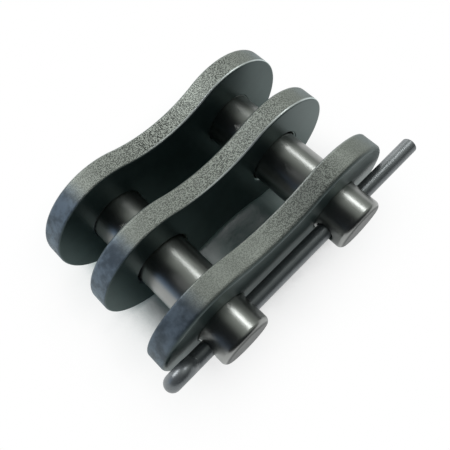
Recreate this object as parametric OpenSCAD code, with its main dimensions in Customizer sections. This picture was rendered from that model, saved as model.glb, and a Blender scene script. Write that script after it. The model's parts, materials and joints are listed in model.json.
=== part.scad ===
// Cottered connecting link for leaf chain.
// Three waisted plates stand side by side on two pins and leave two bays for the leaves of the chain.
// One long cotter passes through the free ends of both pins and keeps the front plate on.
// Origin: midway between the two pin axes, on the centre plane between the two outer plates.
// X runs from pin to pin, +Y points to the back plate, +Z is up. All sizes are in millimetres.

/* [Link] */
// Distance between the two pin axes, the pitch of the chain
pitch = 25.4; // [23:0.1:32]
// Depth of a plate across each pin
lobe_depth = 22.7; // [21:0.1:26]
// Depth of a plate at its waist
waist_depth = 17.4; // [14:0.1:20]
// Thickness of each plate
plate_thick = 3.7; // [2.6:0.1:5]
// Thickness of one leaf of the chain that the link joins
leaf_thick = 4; // [2.5:0.1:5]
// Leaves that lie side by side in each bay
leaves_per_bay = 2; // [1:1:4]
// Side play left in each bay
bay_play = 0.18; // [0.1:0.02:0.6]
// How far the loose middle plate stands behind the centre plane
middle_shift = 1; // [-1.5:0.05:1.5]

/* [Plate edges] */
// Radius of the rolled edge on the side that each plate was punched from
rolled_edge = 0.7; // [0.4:0.05:1.2]
// Radius of the broken edge on the other side
broken_edge = 0.3; // [0.15:0.05:0.8]
// Bevel at both mouths of each pin hole
hole_bevel = 0.25; // [0.1:0.05:0.5]

/* [Pins] */
// Diameter of the pins
pin_d = 9.3; // [7.5:0.05:10.5]
// Length of pin that stands out past the front plate
pin_overhang = 5.6; // [5:0.1:10]
// Rounding of the pin's free end
pin_end_round = 0.9; // [0.3:0.05:1.2]
// How far the riveted head spreads past the pin all round
rivet_spread = 0.6; // [0.3:0.05:1]
// Height of the riveted head behind the back plate
rivet_height = 1.1; // [0.7:0.05:2]
// Rounding of the riveted head's rim
rivet_round = 0.6; // [0.2:0.05:0.65]
// Radial clearance where the pins are pressed into the back plate
press_clear = 0.01; // [0.005:0.005:0.03]
// Radial clearance in the holes of the detachable front plate
cover_clear = 0.05; // [0.02:0.01:0.15]
// Radial clearance in the holes of the sliding middle plate
slip_clear = 0.3; // [0.1:0.02:0.5]

/* [Cotter] */
// Diameter of the closed cotter
cotter_d = 2.8; // [2:0.1:3.2]
// Radial clearance of the cotter in its cross holes
cotter_clear = 0.15; // [0.1:0.01:0.4]
// Gap between the cotter and the front plate
cotter_standoff = 0.45; // [0.3:0.05:1.5]
// Bevel at the mouths of the cross holes
cross_bevel = 0.3; // [0.1:0.05:0.6]
// Gap between the flat sides of the two legs
leg_gap = 0.08; // [0.04:0.01:0.3]
// Length of the legs past the right pin
cotter_tail = 12.65; // [4:0.05:20]
// Bevel at the cut ends of the legs
leg_bevel = 0.2; // [0.05:0.05:0.5]
// Radius inside the bend where the upper leg rises into the eye
neck_inside = 0.12; // [0.05:0.01:0.8]
// Straight shank between the left pin and the neck of the eye
neck_reach = 2.2; // [0.6:0.1:5]
// Turn of the cotter about its own axis, which leans the top of its eye to the front
cotter_turn = 8; // [0:1:30]

/* [Hidden] */
$fn = 96;

// How far a cutter runs past the face that it cuts
past = 1;

rim_colour = [0.43, 0.45, 0.42];
pin_colour = [0.30, 0.31, 0.31];
cotter_colour = [0.36, 0.38, 0.39];

// How far each waist arc runs into the lobes that it joins
blend = 0.04;

// Plate outline: two round lobes, joined by waist arcs
lobe_r = lobe_depth / 2;
half_pitch = pitch / 2;
half_waist = waist_depth / 2;
blend_r = lobe_r - blend;
waist_r = (half_pitch ^ 2 + half_waist ^ 2 - blend_r ^ 2) / (2 * (blend_r - half_waist));
waist_centre = half_waist + waist_r;

// Corner of the web between the lobes, on the line from a lobe's centre to a waist arc's centre
corner_reach = lobe_r + past;
corner_angle = atan2(waist_centre, half_pitch);
corner_x = half_pitch - corner_reach * cos(corner_angle);
corner_z = corner_reach * sin(corner_angle);

// Places along Y
bay = leaves_per_bay * leaf_thick + bay_play;
inner_face = bay + plate_thick / 2;
outer_face = inner_face + plate_thick;
middle_back = middle_shift + plate_thick / 2;
pin_r = pin_d / 2;
pin_tip = outer_face + pin_overhang;
cotter_r = cotter_d / 2;
cotter_y = -(outer_face + cotter_standoff + cotter_r);
cross_r = cotter_r + cotter_clear;

// Cotter: half-round legs whose flat sides face each other across the split
flat_z = leg_gap / 2;
leg_r = cotter_r - flat_z;
pin_side = half_pitch + pin_r;
tail_x = pin_side + cotter_tail;
neck_x = -(pin_side + neck_reach);
neck_bend = leg_r + neck_inside;
eye_r = neck_bend + leg_gap;
eye_z = flat_z + neck_bend;
eye_x = neck_x - neck_bend - eye_r;

// Half section of a plate through a lobe: radius along X, thickness along Y, rolled edge on top
module lobe_section() {
    square([lobe_r - broken_edge, broken_edge]);
    translate([0, broken_edge])
        square([lobe_r, plate_thick - broken_edge - rolled_edge]);
    translate([0, plate_thick - rolled_edge])
        square([lobe_r - rolled_edge, rolled_edge]);
    translate([lobe_r - broken_edge, broken_edge])
        circle(broken_edge);
    translate([lobe_r - rolled_edge, plate_thick - rolled_edge])
        circle(rolled_edge);
}

// Section of the cutter that hollows a waist and leaves the same rounded edges
module waist_section() {
    translate([0, -past])
        square([waist_r, plate_thick + 2 * past]);
    difference() {
        translate([0, -past])
            square([waist_r + broken_edge, past + broken_edge]);
        translate([waist_r + broken_edge, broken_edge])
            circle(broken_edge);
    }
    difference() {
        translate([0, plate_thick - rolled_edge])
            square([waist_r + rolled_edge, past + rolled_edge]);
        translate([waist_r + rolled_edge, plate_thick - rolled_edge])
            circle(rolled_edge);
    }
}

// Solid plate lying on its broken side
module plate_blank() {
    for (side = [-1, 1])
        translate([side * half_pitch, 0, 0])
            rotate_extrude()
                lobe_section();
    difference() {
        linear_extrude(plate_thick)
            polygon([
                [-half_pitch, 0],
                [-corner_x, corner_z],
                [corner_x, corner_z],
                [half_pitch, 0],
                [corner_x, -corner_z],
                [-corner_x, -corner_z]
            ]);
        for (side = [-1, 1])
            translate([0, side * waist_centre, 0])
                rotate_extrude()
                    waist_section();
    }
}

// Pin hole with a bevel at both mouths
module pin_hole(hole_r) {
    translate([0, 0, -past])
        cylinder(h = plate_thick + 2 * past, r = hole_r);
    translate([0, 0, -past])
        cylinder(h = past + hole_bevel, r1 = hole_r + hole_bevel + past, r2 = hole_r);
    translate([0, 0, plate_thick - hole_bevel])
        cylinder(h = past + hole_bevel, r1 = hole_r, r2 = hole_r + hole_bevel + past);
}

module plate(hole_r) {
    difference() {
        plate_blank();
        for (side = [-1, 1])
            translate([side * half_pitch, 0, 0])
                pin_hole(hole_r);
    }
}

module back_plate() {
    color(rim_colour)
        translate([0, inner_face, 0])
            rotate([-90, 0, 0])
                plate(pin_r + press_clear);
}

module middle_plate() {
    color(rim_colour)
        translate([0, middle_back - plate_thick, 0])
            rotate([-90, 0, 0])
                plate(pin_r + slip_clear);
}

module front_plate() {
    color(rim_colour)
        translate([0, -inner_face, 0])
            rotate([90, 0, 0])
                plate(pin_r + cover_clear);
}

// Half section of a pin: radius along X, length along Y from the free tip to the riveted head
module pin_section() {
    head_r = pin_r + rivet_spread;
    head_end = outer_face + rivet_height;
    translate([0, -pin_tip + pin_end_round])
        square([pin_r, pin_tip - pin_end_round + outer_face]);
    translate([0, -pin_tip])
        square([pin_r - pin_end_round, pin_end_round]);
    translate([pin_r - pin_end_round, -pin_tip + pin_end_round])
        circle(pin_end_round);
    translate([0, outer_face])
        square([head_r, rivet_height - rivet_round]);
    translate([0, head_end - rivet_round])
        square([head_r - rivet_round, rivet_round]);
    difference() {
        translate([head_r - rivet_round, head_end - rivet_round])
            circle(rivet_round);
        translate([0, outer_face - 2 * rivet_round])
            square([head_r + past, 2 * rivet_round]);
    }
}

// Hole for the cotter across a pin, bevelled where it breaks through
module cross_hole() {
    for (side = [0, 1])
        mirror([side, 0, 0])
            rotate([0, 90, 0]) {
                cylinder(h = pin_r + past, r = cross_r);
                translate([0, 0, pin_r - cross_bevel])
                    cylinder(h = past + cross_bevel, r1 = cross_r, r2 = cross_r + cross_bevel + past);
            }
}

module pin(pin_x) {
    translate([pin_x, 0, 0])
        difference() {
            rotate([-90, 0, 0])
                rotate_extrude()
                    pin_section();
            translate([0, cotter_y, 0])
                cross_hole();
        }
}

module left_pin() {
    color(pin_colour)
        pin(-half_pitch);
}

module right_pin() {
    color(pin_colour)
        pin(half_pitch);
}

// Straight half-round leg from start_x to the cut tail, flat side down on the plane z = 0
module leg(start_x) {
    body = tail_x - leg_bevel - start_x;
    intersection() {
        translate([start_x, 0, 0])
            rotate([0, 90, 0]) {
                cylinder(h = body, r = leg_r);
                translate([0, 0, body])
                    cylinder(h = leg_bevel, r1 = leg_r, r2 = leg_r - leg_bevel);
            }
        translate([start_x - past, -cotter_d, 0])
            cube([tail_x - start_x + 2 * past, 2 * cotter_d, cotter_d]);
    }
}

// Half-round wire bent about Y, drawn with the bend's axis along Z
// outward is true where the round side lies outside the bend
module bent_wire(bend_r, sweep, outward) {
    rotate_extrude(angle = sweep)
        intersection() {
            translate([bend_r, 0])
                circle(leg_r);
            translate([outward ? bend_r : bend_r - cotter_d, -cotter_d])
                square([cotter_d, 2 * cotter_d]);
        }
}

// Places a bend, drawn about Z, with its axis along Y and its angles turning from +X to +Z
module bend_at(bend_x, start_angle) {
    translate([bend_x, 0, eye_z])
        rotate([90, 0, 0])
            rotate([0, 0, start_angle])
                children();
}

module cotter_pin() {
    color(cotter_colour)
        translate([0, cotter_y, 0])
            rotate([cotter_turn, 0, 0]) {
                translate([0, 0, flat_z])
                    leg(neck_x);
                mirror([0, 0, 1])
                    translate([0, 0, flat_z])
                        leg(eye_x);
                bend_at(neck_x, 180)
                    bent_wire(neck_bend, 90, false);
                bend_at(eye_x, 0)
                    bent_wire(eye_r, 270, true);
            }
}

back_plate();
middle_plate();
front_plate();
left_pin();
right_pin();
cotter_pin();
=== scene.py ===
"""A cottered connecting link for leaf chain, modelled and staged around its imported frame."""
import json
import math

import bmesh
import bpy
from bpy.props import FloatProperty, FloatVectorProperty, PointerProperty
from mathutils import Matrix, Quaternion, Vector


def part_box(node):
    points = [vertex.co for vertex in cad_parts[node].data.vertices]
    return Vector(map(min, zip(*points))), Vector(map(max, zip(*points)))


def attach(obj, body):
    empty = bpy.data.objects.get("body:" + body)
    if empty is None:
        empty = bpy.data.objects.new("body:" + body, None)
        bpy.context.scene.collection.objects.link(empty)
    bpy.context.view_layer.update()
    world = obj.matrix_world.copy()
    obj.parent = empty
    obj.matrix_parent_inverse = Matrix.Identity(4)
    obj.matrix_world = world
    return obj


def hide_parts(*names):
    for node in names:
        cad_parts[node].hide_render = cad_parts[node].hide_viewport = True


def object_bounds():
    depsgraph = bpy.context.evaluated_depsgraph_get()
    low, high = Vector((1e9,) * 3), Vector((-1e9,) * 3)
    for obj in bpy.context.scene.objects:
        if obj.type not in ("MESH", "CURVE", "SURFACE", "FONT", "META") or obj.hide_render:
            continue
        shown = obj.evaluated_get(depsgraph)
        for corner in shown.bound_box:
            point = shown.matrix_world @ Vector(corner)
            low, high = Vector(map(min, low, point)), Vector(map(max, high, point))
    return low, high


bl_info = {
    "name": "Leaf Chain Link",
    "version": (1, 0, 0),
    "blender": (4, 5, 0),
    "location": "View3D > Sidebar > Chain Link",
    "description": "Models a cottered connecting link for leaf chain and sets it on a studio floor",
    "category": "Add Mesh",
}

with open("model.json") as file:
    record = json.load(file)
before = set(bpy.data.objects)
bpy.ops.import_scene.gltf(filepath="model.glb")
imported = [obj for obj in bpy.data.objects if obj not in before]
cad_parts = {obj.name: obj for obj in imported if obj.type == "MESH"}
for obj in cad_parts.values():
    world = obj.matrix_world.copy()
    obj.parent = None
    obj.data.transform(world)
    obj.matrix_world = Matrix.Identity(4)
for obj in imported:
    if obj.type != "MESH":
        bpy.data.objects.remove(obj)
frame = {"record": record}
cad_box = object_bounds()

MM = 0.001
PER_METRE = 1000.0
ACROSS = (0.0, 1.0, 0.0)
CLOSE = 1e-6

# Sizes that the frame gives: the pins and their spacing, and the outline of the plates
PIN_PAIR = next(m for m in frame["record"]["mounts"] if m["name"] == "pin_pair")
HALF_PITCH = PIN_PAIR["dims"]["spacing_x_mm"] * MM / 2
PIN_R = PIN_PAIR["dims"]["stud_r_mm"] * MM
LOBE_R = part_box("back_plate")[1].z
FLOOR_Z = cad_box[0][2]

# Fineness of the meshes
SMOOTH_ANGLE = math.radians(35)
HOLE_SIDES = 96
PIN_SIDES = 192
WIRE_SIDES = 64
EDGE_STEPS = 8
HEAD_STEPS = 10
END_STEPS = 12
LEG_STEPS = 3
NECK_STEPS = 14
EYE_STEPS = 56

# How nearly a face looks along an axis that it faces, how far a cutter runs past the surface,
# and the two steps from a head's rim to its dish, as a share of its radius
FACING = 0.99
CUT_PAST = MM
DISH_INSET = 0.25

# Roughness of smooth steel, and the bump and tint on the plates
SMOOTH_STEEL = 0.285
GRAIN_BUMP = 0.03 * MM
PLATE_TINT = (0.86, 0.98, 0.96)

# Directions from the link to the lights, and the way in which the floor looks for open sky
BACK_LAMP = (-0.25, 0.72, 0.65)
RIGHT_LAMP = (0.61, 0.11, 0.77)
LOW_WINDOW = (0.55, 0.76, 0.3)
SHADOW_SIDE = (0.1, -0.3, 0.9)
LAMP_DISTANCE = 0.6
FLOOR_SIZE = 4.0
SEEN_PATHS = ("Is Camera Ray", "Is Glossy Ray", "Is Transmission Ray")

# Colours of the room as polished surfaces see it, and as it lights matt ones
WHITE = (1.0, 1.0, 1.0, 1.0)
ROOM_DARK = (0.025, 0.027, 0.03, 1.0)
ROOM_WINDOW = (0.6, 0.85, 1.25, 1.0)
LAMP_GLOW = (0.50, 0.53, 0.49, 1.0)
LOW_GLOW = (2.0, 2.0, 1.95, 1.0)
SKY_DARK = (0.10, 0.11, 0.12, 1.0)
SKY_WINDOW = (0.2, 0.32, 0.5, 1.0)

PIN_NODES = ("left_pin", "right_pin")
BODIES = {node: body for body, nodes in frame["record"]["behaviour"]["bodies"].items() for node in nodes}


def length_property(name, description, millimetres):
    """A size that is shown in the scene's own units."""
    return FloatProperty(
        name=name, description=description, default=millimetres * MM, min=0.0, unit="LENGTH", precision=5
    )


def colour_property(name, description, colour):
    """A colour with a picker."""
    return FloatVectorProperty(
        name=name, description=description, default=colour, size=3, min=0.0, max=1.0, subtype="COLOR"
    )


class PlateSettings(bpy.types.PropertyGroup):
    """Sizes and finish of the three plates."""

    waist_depth: length_property("Waist depth", "Depth of a plate at its waist", 17.4)
    rolled_edge: length_property("Rolled edge", "Radius of the edge on the side that the punch met", 0.7)
    broken_edge: length_property("Broken edge", "Radius of the edge on the other side", 0.3)
    hole_bevel: length_property("Hole bevel", "Bevel at both mouths of a pin hole", 0.25)
    press_clear: length_property("Press clearance", "Radial clearance in the back plate", 0.01)
    slip_clear: length_property("Slip clearance", "Radial clearance in the middle plate", 0.3)
    cover_clear: length_property("Cover clearance", "Radial clearance in the front plate", 0.05)
    outline_step: length_property("Outline step", "Spacing of the points round a plate", 0.3)
    grain_depth: length_property("Grain depth", "Depth of the torn grain on the punched rim", 0.02)
    rim_colour: colour_property("Rim", "Punched and tumbled rim", (0.262, 0.282, 0.252))
    # Painted reflection: blue-grey at the ends of the rim, standing in for the bluish light that they
    # reflect
    reflection_blue_colour: colour_property(
        "Heat colour", "Blue-grey that heat treatment left at the ends", (0.116, 0.148, 0.184)
    )
    # Partly wear and partly a painted highlight: a bright line along the broken edge, on the right half of
    # the rim
    wear_highlight_colour: colour_property("Worn edge", "Bright line along the broken edge", (0.80, 0.86, 0.86))
    face_colour: colour_property("Face", "Dark heat-treated face", (0.056, 0.082, 0.080))


class PinSettings(bpy.types.PropertyGroup):
    """Sizes and finish of the two pins."""

    end_round: length_property("End rounding", "Rounding of the free end", 0.9)
    head_round: length_property("Head rounding", "Rounding of the riveted head's rim", 0.6)
    head_dish: length_property("Head dish", "Depth of the dish that the riveting tool leaves", 0.18)
    cross_clear: length_property("Cross clearance", "Radial clearance round the cotter", 0.15)
    cross_bevel: length_property("Cross bevel", "Bevel where the cross hole breaks through", 0.3)
    steel_colour: colour_property("Steel", "Ground and polished steel", (0.30, 0.31, 0.30))


class CotterSettings(bpy.types.PropertyGroup):
    """Sizes and finish of the cotter."""

    cotter_d: length_property("Diameter", "Diameter of the closed cotter", 2.8)
    leg_gap: length_property("Leg gap", "Gap between the flat sides of the legs", 0.08)
    leg_bevel: length_property("Leg bevel", "Bevel at the cut ends of the legs", 0.2)
    neck_inside: length_property(
        "Neck radius", "Radius inside the bend where the upper leg rises into the eye", 0.12
    )
    turn: FloatProperty(
        name="Turn", description="Turn about its own axis, which leans the top of the eye to the front",
        default=math.radians(8.0), subtype="ANGLE",
    )
    wire_colour: colour_property("Wire", "Bright drawn wire", (0.225, 0.243, 0.252))


class StageSettings(bpy.types.PropertyGroup):
    """Camera, lamps and floor."""

    camera_place: FloatVectorProperty(
        name="Camera", description="Where the camera stands",
        default=(-21.151 * MM, -26.873 * MM, 73.202 * MM), size=3, subtype="TRANSLATION", unit="LENGTH",
    )
    camera_target: FloatVectorProperty(
        name="Target", description="Point that the camera looks at",
        default=(-1.970 * MM, -3.679 * MM, 0.0), size=3, subtype="TRANSLATION", unit="LENGTH",
    )
    camera_roll: FloatProperty(
        name="Roll", description="Turn of the camera about its own axis",
        default=math.radians(-5.65), subtype="ANGLE",
    )
    camera_lens: FloatProperty(name="Lens", description="Focal length on a 36 mm sensor", default=39.66)
    floor_colour: colour_property("Floor", "Pale studio floor", (0.66, 0.80, 0.76))
    shadow_reach: length_property("Shadow reach", "How far the soft shadow reaches over the floor", 16.0)
    shadow_start: FloatProperty(
        name="Shadow start", description="Share of open sky below which the floor is in full shadow",
        default=0.40, subtype="FACTOR",
    )
    shadow_end: FloatProperty(
        name="Shadow end", description="Share of open sky at which the deep shadow ends",
        default=0.60, subtype="FACTOR",
    )


class Wire:
    """A shader socket on which Python's arithmetic adds Math nodes."""

    def __init__(self, tree, socket=None):
        self.tree = tree
        self.socket = socket

    def node(self, kind, settings=None, sockets=None, output=0):
        """Adds a node, sets it up, fills its sockets and returns one of its outputs."""
        made = self.tree.nodes.new(kind)
        for name, value in (settings or {}).items():
            setattr(made, name, value)
        for name, value in (sockets or {}).items():
            if isinstance(value, Wire):
                self.tree.links.new(value.socket, made.inputs[name])
            else:
                made.inputs[name].default_value = value
        return Wire(self.tree, made.outputs[output])

    def math(self, operation, first, second=0.0):
        return self.node("ShaderNodeMath", {"operation": operation}, {0: first, 1: second})

    def __add__(self, other):
        return self.math("ADD", self, other)

    def __radd__(self, other):
        return self.math("ADD", other, self)

    def __sub__(self, other):
        return self.math("SUBTRACT", self, other)

    def __rsub__(self, other):
        return self.math("SUBTRACT", other, self)

    def __mul__(self, other):
        return self.math("MULTIPLY", self, other)

    def __rmul__(self, other):
        return self.math("MULTIPLY", other, self)

    def __abs__(self):
        return self.math("ABSOLUTE", self)

    def ramp(self, low, high):
        """0 below low, 1 above high and a smooth step between."""
        return self.node(
            "ShaderNodeMapRange", {"interpolation_type": "SMOOTHSTEP"},
            {"Value": self, "From Min": low, "From Max": high},
        )

    def stretched(self, scale):
        """This place with each axis scaled."""
        return self.node("ShaderNodeMapping", {}, {"Vector": self, "Scale": scale})

    def noise(self, scale, detail=2.0, roughness=0.5):
        """Cloudy noise at this place, from 0 to 1."""
        return self.node(
            "ShaderNodeTexNoise", {},
            {"Vector": self, "Scale": scale, "Detail": detail, "Roughness": roughness}, "Fac",
        )

    def colour_mix(self, first, second):
        """The first colour where this mask is 0, the second where it is 1."""
        return self.node("ShaderNodeMix", {"data_type": "RGBA"}, {0: self, 6: first, 7: second}, 2)

    def bump(self, depth):
        """A normal that this height bends, with the depth in metres."""
        return self.node("ShaderNodeBump", {}, {"Strength": 1.0, "Distance": depth, "Height": self})


def rgba(colour, level=1.0):
    """A colour socket's value."""
    return (colour[0] * level, colour[1] * level, colour[2] * level, 1.0)


def new_finish(name):
    """An empty material, its main shader and its place in millimetres."""
    material = bpy.data.materials.new(name)
    material.use_nodes = True
    tree = material.node_tree
    place = Wire(tree).node("ShaderNodeTexCoord", {}, {}, "Object").stretched((PER_METRE,) * 3)
    return material, tree.nodes["Principled BSDF"], place


def feed(shader, sockets):
    """Links the varying inputs of a material's main shader and sets the plain ones."""
    for name, value in sockets.items():
        if isinstance(value, Wire):
            value.tree.links.new(value.socket, shader.inputs[name])
        else:
            shader.inputs[name].default_value = value


def plate_finish(node, rolled_far, grain_and_light_level, settings):
    """Dark faces and a grained rim that runs over the rolled edge and ends in a worn line at the other,
    with a painted highlight on that line, painted light on the rim and a painted reflection at the ends.
    """
    low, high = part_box(node)
    middle = (low.y + high.y) / 2 / MM
    half_thick = (high.y - low.y) / 2 / MM
    # How strongly the worn line and its painted highlight show, where the painted reflection at the left
    # end begins and how strong it is, and how metallic the faces are
    if rolled_far:
        wear_and_highlight_share, reflection_edge, reflection_level, face_metal = 0.9, -16.2, 1.0, 0.42
    else:
        wear_and_highlight_share, reflection_edge, reflection_level, face_metal = 0.15, -15.0, 0.78, 0.28
    material, shader, place = new_finish(node + "_steel")
    along, across = (place.node("ShaderNodeSeparateXYZ", {}, {0: place}, axis) for axis in "XY")

    # The faces, and the worn line with its painted highlight, by the distance from the plate's mid plane in
    # millimetres
    rolled = (across - middle) * (1.0 if rolled_far else -1.0)
    broken = 0.0 - rolled
    face = broken.ramp(half_thick - 0.16, half_thick - 0.02)
    face = face + rolled.ramp(half_thick - 0.5, half_thick - 0.04)
    rim_part = 1.0 - face
    wear_and_highlight = broken.ramp(half_thick - 0.45, half_thick - 0.2) * rim_part * along.ramp(-8.0, 4.0) * wear_and_highlight_share

    # The torn grain, strongest between the two ends
    grain = place.noise(6.0, 0.0, 0.5)
    streak = place.stretched((1.0, 0.3, 1.0)).noise(2.6, 2.0, 0.6)
    torn = along.ramp(-18.0, 0.0) * (1.0 - along.ramp(12.0, 18.0))
    patch = 0.75 * torn + 0.25 * place.noise(0.15, 2.0).ramp(0.3, 0.6)
    speckle = (grain * 0.85 + streak * 0.15).ramp(0.4, 0.6)
    contrast = (0.25 + patch * 0.65) * (1.0 - wear_and_highlight) * rim_part * grain_and_light_level
    # Painted light: the back rim lighter and the front rim darker between the waist and the right lobe
    painted_light = 0.6 * (grain_and_light_level - 0.7) * along.ramp(-2.0, 7.0) * (1.0 - along.ramp(9.0, 14.0))
    tone = 0.5 + painted_light + contrast * (speckle - 0.5)
    rim = tone.colour_mix(rgba(settings.rim_colour, 0.1), rgba(settings.rim_colour, 1.9))

    # Painted reflection: a blue-grey that stands in for the bluish light the ends reflect, full at the left
    # end and half as strong at the right one
    painted_reflection = 1.0 - along.ramp(reflection_edge - 1.6, reflection_edge + 1.6) + 0.5 * along.ramp(17.5, 21.5)
    bloom = place.noise(0.45, 3.0, 0.6).ramp(0.35, 0.65)
    reflected_blue = bloom.colour_mix(
        rgba(settings.reflection_blue_colour, 0.7 * reflection_level), rgba(settings.reflection_blue_colour, 1.45 * reflection_level)
    )
    rim = painted_reflection.colour_mix(rim, reflected_blue)
    # Wear and painted highlight: the bright line along the broken edge
    rim = wear_and_highlight.colour_mix(rim, rgba(settings.wear_highlight_colour))

    cloud = place.noise(0.3, 3.0)
    skin = cloud.colour_mix(rgba(settings.face_colour, 0.7), rgba(settings.face_colour, 1.3))
    rim_rough = 0.44 + 0.1 * speckle - 0.15 * wear_and_highlight
    face_rough = SMOOTH_STEEL + 0.06 * cloud
    feed(shader, {
        "Base Color": face.colour_mix(rim, skin),
        "Metallic": (0.35 + 0.55 * wear_and_highlight) * rim_part + face_metal * face,
        "Roughness": rim_rough * rim_part + face_rough * face,
        "Normal": (speckle * contrast).bump(GRAIN_BUMP),
        "Specular IOR Level": 0.36,
        "Specular Tint": rgba(PLATE_TINT),
    })
    return material


def pin_finish(node, settings):
    """Ground steel with faint marks round the pin and a duller end face."""
    material, shader, place = new_finish(node + "_steel")
    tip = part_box(node)[0].y / MM
    end = 1.0 - place.node("ShaderNodeSeparateXYZ", {}, {0: place}, "Y").ramp(tip + 0.05, tip + 0.3)
    lines = place.stretched((0.15, 2.0, 0.15)).noise(1.0, 2.0, 0.5)
    cloud = place.noise(0.35, 3.0)
    steel = cloud.colour_mix(rgba(settings.steel_colour, 0.85), rgba(settings.steel_colour, 1.15))
    feed(shader, {
        "Base Color": end.colour_mix(steel, rgba(settings.steel_colour, 0.42)),
        "Metallic": 1.0 - 0.75 * end,
        "Roughness": SMOOTH_STEEL + 0.02 * lines + 0.17 * end,
    })
    return material


def cotter_finish(node, settings):
    """Drawn wire with faint lines along its length."""
    material, shader, place = new_finish(node + "_steel")
    lines = place.stretched((0.15, 2.5, 2.5)).noise(1.0, 2.0, 0.5)
    cloud = place.noise(0.5, 3.0)
    feed(shader, {
        "Base Color": cloud.colour_mix(rgba(settings.wire_colour, 0.8), rgba(settings.wire_colour, 1.2)),
        "Metallic": 0.5,
        "Roughness": 0.33 + 0.04 * lines,
    })
    return material


def begin(name, add, **options):
    """Adds a primitive, puts its place into its mesh and opens it for editing."""
    bpy.ops.object.select_all(action="DESELECT")
    add(**options)
    piece = bpy.context.object
    piece.name = name
    piece.data.name = name
    bpy.ops.object.transform_apply()
    bpy.ops.object.mode_set(mode="EDIT")
    bpy.ops.mesh.select_mode(type="VERT")
    return piece


def pick(piece, kind, test):
    """Selects, in edit mode, only the verts, edges or faces that pass a test."""
    bpy.ops.mesh.select_all(action="DESELECT")
    bpy.ops.mesh.select_mode(type={"verts": "VERT", "edges": "EDGE", "faces": "FACE"}[kind])
    mesh = bmesh.from_edit_mesh(piece.data)
    found = [part for part in getattr(mesh, kind) if test(part)]
    for part in found:
        part.select_set(True)
    mesh.select_flush_mode()
    bmesh.update_edit_mesh(piece.data)
    if not found:
        raise RuntimeError(f"{piece.name} has no {kind} where they were expected")


def level(axis, value):
    """A test for an edge that lies wholly at one value of an axis."""
    return lambda edge: all(abs(vert.co[axis] - value) < CLOSE for vert in edge.verts)


def round_edges(piece, axis, value, radius, segments):
    """Rounds the edges that lie at one value of an axis."""
    pick(piece, "edges", level(axis, value))
    bpy.ops.mesh.bevel(offset=radius, segments=segments, affect="EDGES", clamp_overlap=False)


def push(offset):
    """Extrudes what is selected."""
    bpy.ops.mesh.extrude_region_move(TRANSFORM_OT_translate={"value": offset})


def modify(piece, kind, **settings):
    """Adds a modifier to a piece and applies it."""
    bpy.context.view_layer.objects.active = piece
    modifier = piece.modifiers.new(kind, kind)
    for name, value in settings.items():
        setattr(modifier, name, value)
    bpy.ops.object.modifier_apply(modifier=modifier.name)


def hole_cutter(centre, turn, radius, straight, flare):
    """A round cutter whose two ends open into bevels and run past the surface."""
    cutter = begin(
        "hole_cutter", bpy.ops.mesh.primitive_cylinder_add,
        vertices=HOLE_SIDES, radius=radius, depth=straight, location=centre, rotation=turn,
    )
    axis = Vector((0.0, 0.0, 1.0))
    axis.rotate(Quaternion((1.0, 0.0, 0.0), turn[0]))
    axis.rotate(Quaternion((0.0, 1.0, 0.0), turn[1]))
    reach = flare + CUT_PAST
    growth = (radius + reach) / radius
    spread = [1.0 if abs(part) > 0.5 else growth for part in axis]
    for side in (-1.0, 1.0):
        pick(cutter, "faces", lambda face: face.normal.dot(axis) * side > FACING)
        push(axis * side * reach)
        bpy.ops.transform.resize(value=spread, center_override=centre)
    bpy.ops.object.mode_set(mode="OBJECT")
    return cutter


def cut(piece, cutter):
    """Cuts a hole with a cutter and takes the cutter away."""
    modify(piece, "BOOLEAN", operation="DIFFERENCE", solver="EXACT", object=cutter)
    bpy.data.objects.remove(cutter)


def settle(piece, node, material):
    """Smooths a finished piece, gives it its finish and lets it stand for its node."""
    bpy.ops.object.select_all(action="DESELECT")
    piece.select_set(True)
    bpy.context.view_layer.objects.active = piece
    bpy.ops.object.shade_smooth_by_angle(angle=SMOOTH_ANGLE)
    modify(piece, "WEIGHTED_NORMAL", keep_sharp=True)
    piece.data.materials.clear()
    piece.data.materials.append(material)
    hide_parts(node)
    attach(piece, BODIES[node])


def plate_outline(piece, start_y, settings):
    """Draws the edge of a plate from one vertex, spun round the lobes and the waists in turn."""
    half_waist = settings.waist_depth / 2
    waist_r = (HALF_PITCH ** 2 + half_waist ** 2 - LOBE_R ** 2) / (2 * (LOBE_R - half_waist))
    waist_z = half_waist + waist_r
    lean = math.atan2(waist_z, HALF_PITCH)
    lobe_sweep = 2 * (math.pi - lean)
    waist_sweep = math.pi - 2 * lean
    first = Vector((HALF_PITCH - LOBE_R * math.cos(lean), start_y, -LOBE_R * math.sin(lean)))
    bpy.ops.mesh.merge(type="CENTER")
    bpy.ops.transform.translate(value=first)
    arcs = (
        (HALF_PITCH, 0.0, LOBE_R, lobe_sweep),
        (0.0, waist_z, waist_r, -waist_sweep),
        (-HALF_PITCH, 0.0, LOBE_R, lobe_sweep),
        (0.0, -waist_z, waist_r, -waist_sweep),
    )
    for centre_x, centre_z, radius, sweep in arcs:
        steps = round(abs(sweep) * radius / settings.outline_step)
        bpy.ops.mesh.spin(steps=steps, angle=sweep, center=(centre_x, start_y, centre_z), axis=ACROSS)
    bpy.ops.mesh.select_all(action="SELECT")
    bpy.ops.mesh.remove_doubles(threshold=CLOSE)
    mesh = bmesh.from_edit_mesh(piece.data)
    if any(len(vert.link_edges) != 2 for vert in mesh.verts):
        raise RuntimeError(f"the outline of {piece.name} doesn't close")


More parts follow.
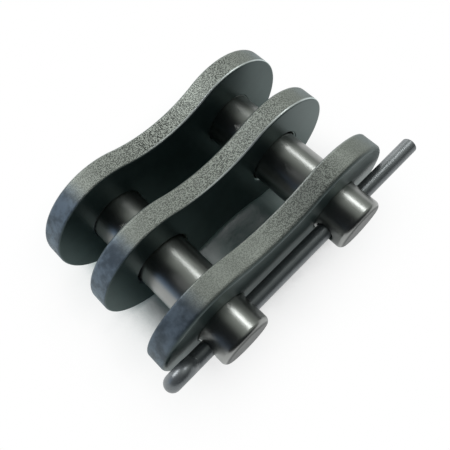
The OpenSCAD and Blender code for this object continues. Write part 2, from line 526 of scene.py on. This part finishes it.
def grain_rim(piece, near_y, far_y, settings):
    """Divides the flat of the rim and roughens it with the torn grain of the punch."""
    rows = round((far_y - near_y) / settings.outline_step)
    pick(piece, "edges", lambda edge: abs(edge.calc_length() - (far_y - near_y)) < CLOSE
         and abs(edge.verts[0].co.y - edge.verts[1].co.y) > CLOSE)
    bpy.ops.mesh.subdivide(number_cuts=rows - 1)
    pick(piece, "verts", lambda vert: near_y + CLOSE < vert.co.y < far_y - CLOSE)
    bpy.ops.object.vertex_group_add()
    bpy.ops.object.vertex_group_assign()
    bpy.ops.object.mode_set(mode="OBJECT")
    grain = bpy.data.textures.new("rim_grain", "CLOUDS")
    grain.noise_scale = 0.35
    grain.noise_depth = 2
    bpy.ops.object.empty_add()
    stretch = bpy.context.object
    stretch.scale = (MM, 4 * MM, MM)
    bpy.context.view_layer.update()
    modify(
        piece, "DISPLACE", texture=grain, texture_coords="OBJECT", texture_coords_object=stretch,
        vertex_group=piece.vertex_groups[0].name, strength=settings.grain_depth, mid_level=0.5,
    )
    bpy.data.objects.remove(stretch)


def model_plate(name, node, clearance, rolled_far, grain_and_light_level, settings):
    """A waisted plate: an outline, extruded, rounded at both edges and drilled for the pins."""
    low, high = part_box(node)
    thick = high.y - low.y
    piece = begin(name, bpy.ops.mesh.primitive_plane_add, size=MM)
    plate_outline(piece, low.y, settings)
    bpy.ops.mesh.select_all(action="SELECT")
    bpy.ops.mesh.edge_face_add()
    push((0.0, thick, 0.0))
    bpy.ops.mesh.select_all(action="SELECT")
    bpy.ops.mesh.normals_make_consistent(inside=False)
    near_round, far_round = settings.broken_edge, settings.rolled_edge
    if not rolled_far:
        near_round, far_round = far_round, near_round
    round_edges(piece, 1, low.y, near_round, EDGE_STEPS)
    round_edges(piece, 1, high.y, far_round, EDGE_STEPS)
    grain_rim(piece, low.y + near_round, high.y - far_round, settings)
    for side in (-1.0, 1.0):
        cut(piece, hole_cutter(
            (side * HALF_PITCH, (low.y + high.y) / 2, 0.0), (math.pi / 2, 0.0, 0.0),
            PIN_R + clearance, thick - 2 * settings.hole_bevel, settings.hole_bevel,
        ))
    settle(piece, node, plate_finish(node, rolled_far, grain_and_light_level, settings))


def cotter_axis_y(settings):
    """Where the axis of the turned cotter lies, measured from the back of its shank."""
    shank_back = settings.cotter_d / 2 - settings.leg_gap / 2 * (1.0 - math.sin(settings.turn))
    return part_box("cotter_pin")[1].y - shank_back


def model_pin(name, node, settings, cotter):
    """A pin: a ground bar with a rounded free end, a riveted head and a cross hole."""
    low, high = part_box(node)
    seat_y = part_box("back_plate")[1].y
    centre_x = (low.x + high.x) / 2
    head_r = (high.x - low.x) / 2
    piece = begin(
        name, bpy.ops.mesh.primitive_cylinder_add, vertices=PIN_SIDES, radius=PIN_R, depth=seat_y - low.y,
        location=(centre_x, (seat_y + low.y) / 2, 0.0), rotation=(math.pi / 2, 0.0, 0.0),
    )
    axis_point = (centre_x, seat_y, 0.0)
    pick(piece, "faces", lambda face: face.normal.y > FACING)
    push((0.0, 0.0, 0.0))
    bpy.ops.transform.resize(value=(head_r / PIN_R, 1.0, head_r / PIN_R), center_override=axis_point)
    push((0.0, high.y - seat_y, 0.0))
    round_edges(piece, 1, high.y, settings.head_round, HEAD_STEPS)
    pick(piece, "faces", lambda face: face.normal.y > FACING
         and abs(face.calc_center_median().y - high.y) < CLOSE)
    bpy.ops.mesh.inset(thickness=DISH_INSET * head_r)
    bpy.ops.mesh.inset(thickness=DISH_INSET * head_r, depth=-settings.head_dish)
    round_edges(piece, 1, low.y, settings.end_round, END_STEPS)
    bpy.ops.object.mode_set(mode="OBJECT")
    cut(piece, hole_cutter(
        (centre_x, cotter_axis_y(cotter), 0.0), (0.0, math.pi / 2, 0.0),
        cotter.cotter_d / 2 + settings.cross_clear,
        2 * (PIN_R - settings.cross_bevel), settings.cross_bevel,
    ))
    settle(piece, node, pin_finish(node, settings))


def model_cotter(name, node, settings):
    """A split pin: half-round wire drawn out along one leg, round the eye and back along the other."""
    low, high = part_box(node)
    axis_y = cotter_axis_y(settings)
    flat_z = settings.leg_gap / 2
    leg_r = settings.cotter_d / 2 - flat_z
    neck_r = leg_r + settings.neck_inside
    eye_r = neck_r + settings.leg_gap
    eye_x = low.x + leg_r + eye_r
    eye_z = flat_z + neck_r
    neck_x = eye_x + eye_r + neck_r
    piece = begin(
        name, bpy.ops.mesh.primitive_circle_add, vertices=WIRE_SIDES, radius=leg_r, fill_type="NGON",
        location=(high.x, axis_y, 0.0), rotation=(0.0, math.pi / 2, 0.0),
    )
    bpy.ops.mesh.select_all(action="SELECT")
    bpy.ops.mesh.bisect(plane_co=(high.x, axis_y, 0.0), plane_no=(0.0, 0.0, 1.0), clear_inner=True)
    bpy.ops.mesh.select_all(action="SELECT")
    bpy.ops.transform.translate(value=(0.0, 0.0, flat_z))
    push((neck_x - high.x, 0.0, 0.0))
    bpy.ops.mesh.spin(steps=NECK_STEPS, angle=-math.pi / 2, center=(neck_x, axis_y, eye_z), axis=ACROSS)
    bpy.ops.mesh.spin(steps=EYE_STEPS, angle=1.5 * math.pi, center=(eye_x, axis_y, eye_z), axis=ACROSS)
    push((high.x - eye_x, 0.0, 0.0))
    bpy.ops.mesh.select_all(action="SELECT")
    bpy.ops.mesh.normals_make_consistent(inside=False)
    round_edges(piece, 0, high.x, settings.leg_bevel, LEG_STEPS)
    bpy.ops.mesh.select_all(action="SELECT")
    bpy.ops.transform.rotate(value=-settings.turn, orient_axis="X", center_override=(0.0, axis_y, 0.0))
    bpy.ops.object.mode_set(mode="OBJECT")
    settle(piece, node, cotter_finish(node, settings))


def floor_finish(settings):
    """White floor with a soft shade round the link, deeper in reflections than to the camera."""
    material, shader, place = new_finish("studio_floor")
    feed(shader, {"Base Color": rgba(settings.floor_colour), "Roughness": 0.9, "Specular IOR Level": 0.0})
    tree = material.node_tree
    side = place.node("ShaderNodeCombineXYZ", {}, dict(enumerate(SHADOW_SIDE)))
    openness = place.node(
        "ShaderNodeAmbientOcclusion", {"samples": 16},
        {"Distance": settings.shadow_reach, "Normal": side}, "AO",
    )
    glow = place.node("ShaderNodeEmission", {}, {"Color": WHITE, "Strength": 1.0})
    camera, glossy, through = (place.node("ShaderNodeLightPath", {}, {}, name) for name in SEEN_PATHS)
    mirrored = glossy.math("MAXIMUM", glossy, through) * openness.ramp(settings.shadow_start, 1.0)
    faint = 0.78 + 0.22 * openness.ramp(0.5, 1.0)
    lit = openness.ramp(settings.shadow_start, settings.shadow_end) * faint
    floor = place.node("ShaderNodeMixShader", {}, {
        0: camera * lit + mirrored, 1: Wire(tree, shader.outputs[0]), 2: glow,
    })
    tree.links.new(floor.socket, tree.nodes["Material Output"].inputs["Surface"])
    return material


def lamp(name, direction, width, height, radiance):
    """A softbox that faces the origin."""
    direction = Vector(direction).normalized()
    light = bpy.data.lights.new(name, "AREA")
    light.shape = "RECTANGLE"
    light.size = width
    light.size_y = height
    light.energy = radiance * math.pi * width * height
    holder = bpy.data.objects.new(name, light)
    bpy.context.scene.collection.objects.link(holder)
    holder.location = direction * LAMP_DISTANCE
    holder.rotation_mode = "QUATERNION"
    holder.rotation_quaternion = (-direction).to_track_quat("-Z", "Y")


def surroundings():
    """A room: white to the camera, dim above a low white backdrop in reflections, even on matt surfaces."""
    world = bpy.data.worlds.new("studio_room")
    world.use_nodes = True
    bpy.context.scene.world = world
    tree = world.node_tree
    wire = Wire(tree)
    way = wire.node("ShaderNodeTexCoord", {}, {}, "Generated")
    parts = {axis: wire.node("ShaderNodeSeparateXYZ", {}, {0: way}, axis) for axis in "XYZ"}
    near_lamp, near_low = (
        wire.node(
            "ShaderNodeVectorMath", {"operation": "DOT_PRODUCT"},
            {0: way, 1: Vector(spot).normalized()}, "Value",
        )
        for spot in (RIGHT_LAMP, LOW_WINDOW)
    )
    window = (0.0 - parts["X"]).ramp(0.35, 0.95) * (1.0 - abs(parts["Z"]).ramp(0.1, 0.6))
    window = window * parts["Y"].ramp(0.12, 0.4)
    room = window.colour_mix(ROOM_DARK, ROOM_WINDOW)
    room = near_lamp.ramp(0.55, 0.96).colour_mix(room, LAMP_GLOW)
    room = near_low.ramp(0.94, 0.98).colour_mix(room, LOW_GLOW)
    diffuse = wire.node("ShaderNodeLightPath", {}, {}, "Is Diffuse Ray")
    camera, glossy, through = (wire.node("ShaderNodeLightPath", {}, {}, name) for name in SEEN_PATHS)
    backdrop = glossy.math("MAXIMUM", glossy, through) * (1.0 - parts["Z"].ramp(0.06, 0.16))
    seen = camera.math("MAXIMUM", camera, backdrop)
    sky = window.colour_mix(SKY_DARK, SKY_WINDOW)
    light = diffuse.colour_mix(room, sky)
    feed(tree.nodes["Background"], {"Color": seen.colour_mix(light, WHITE), "Strength": 1.0})


def make_camera(settings):
    """The camera of the main view."""
    data = bpy.data.cameras.new("camera")
    data.lens = settings.camera_lens
    data.clip_start = MM
    camera = bpy.data.objects.new("camera", data)
    bpy.context.scene.collection.objects.link(camera)
    camera.location = settings.camera_place
    way = Vector(settings.camera_target) - Vector(settings.camera_place)
    roll = Quaternion((0.0, 0.0, 1.0), settings.camera_roll)
    camera.rotation_mode = "QUATERNION"
    camera.rotation_quaternion = way.to_track_quat("-Z", "Y") @ roll
    bpy.context.scene.camera = camera


class CHAINLINK_OT_plates(bpy.types.Operator):
    """Model the three waisted plates"""

    bl_idname = "chainlink.plates"
    bl_label = "Plates"

    def execute(self, context):
        settings = context.scene.chainlink_plates
        # The last number of each row sets how strongly the rim is grained and how much painted light it
        # gets
        plates = (
            ("back_link_plate", "back_plate", settings.press_clear, True, 1.0),
            ("middle_link_plate", "middle_plate", settings.slip_clear, True, 0.8),
            ("front_link_plate", "front_plate", settings.cover_clear, False, 0.45),
        )
        for name, node, clearance, rolled_far, grain_and_light_level in plates:
            model_plate(name, node, clearance, rolled_far, grain_and_light_level, settings)
        return {"FINISHED"}


class CHAINLINK_OT_pins(bpy.types.Operator):
    """Model the two riveted pins"""

    bl_idname = "chainlink.pins"
    bl_label = "Pins"

    def execute(self, context):
        settings = context.scene.chainlink_pins
        for node in PIN_NODES:
            model_pin(node.replace("pin", "link_pin"), node, settings, context.scene.chainlink_cotter)
        return {"FINISHED"}


class CHAINLINK_OT_cotter(bpy.types.Operator):
    """Model the split cotter"""

    bl_idname = "chainlink.cotter"
    bl_label = "Cotter"

    def execute(self, context):
        model_cotter("split_cotter", "cotter_pin", context.scene.chainlink_cotter)
        return {"FINISHED"}


class CHAINLINK_OT_stage(bpy.types.Operator):
    """Set up the floor, the lamps and the camera"""

    bl_idname = "chainlink.stage"
    bl_label = "Stage"

    def execute(self, context):
        settings = context.scene.chainlink_stage
        bpy.ops.object.select_all(action="DESELECT")
        bpy.ops.mesh.primitive_plane_add(size=FLOOR_SIZE, location=(0.0, 0.0, FLOOR_Z))
        floor = context.object
        floor.name = "floor"
        floor.data.materials.append(floor_finish(settings))
        lamp("back_softbox", BACK_LAMP, width=0.32, height=0.26, radiance=7.5)
        lamp("right_softbox", RIGHT_LAMP, width=0.20, height=0.11, radiance=7.2)
        surroundings()
        make_camera(settings)
        context.scene.view_settings.view_transform = "Standard"
        return {"FINISHED"}


class CHAINLINK_PT_panel(bpy.types.Panel):
    """Settings and steps of the chain link"""

    bl_idname = "CHAINLINK_PT_panel"
    bl_label = "Chain Link"
    bl_space_type = "VIEW_3D"
    bl_region_type = "UI"
    bl_category = "Chain Link"

    def draw(self, context):
        for name, (group, operator) in STEPS.items():
            box = self.layout.box()
            box.operator(operator.bl_idname)
            for field in group.__annotations__:
                box.prop(getattr(context.scene, name), field)


STEPS = {
    "chainlink_plates": (PlateSettings, CHAINLINK_OT_plates),
    "chainlink_pins": (PinSettings, CHAINLINK_OT_pins),
    "chainlink_cotter": (CotterSettings, CHAINLINK_OT_cotter),
    "chainlink_stage": (StageSettings, CHAINLINK_OT_stage),
}


def register():
    for name, (group, operator) in STEPS.items():
        bpy.utils.register_class(group)
        bpy.utils.register_class(operator)
        setattr(bpy.types.Scene, name, PointerProperty(type=group))
    bpy.utils.register_class(CHAINLINK_PT_panel)


def unregister():
    bpy.utils.unregister_class(CHAINLINK_PT_panel)
    for name, (group, operator) in STEPS.items():
        delattr(bpy.types.Scene, name)
        bpy.utils.unregister_class(operator)
        bpy.utils.unregister_class(group)


def main():
    register()
    bpy.ops.chainlink.plates()
    bpy.ops.chainlink.pins()
    bpy.ops.chainlink.cotter()
    bpy.ops.chainlink.stage()


if __name__ == "__main__":
    main()
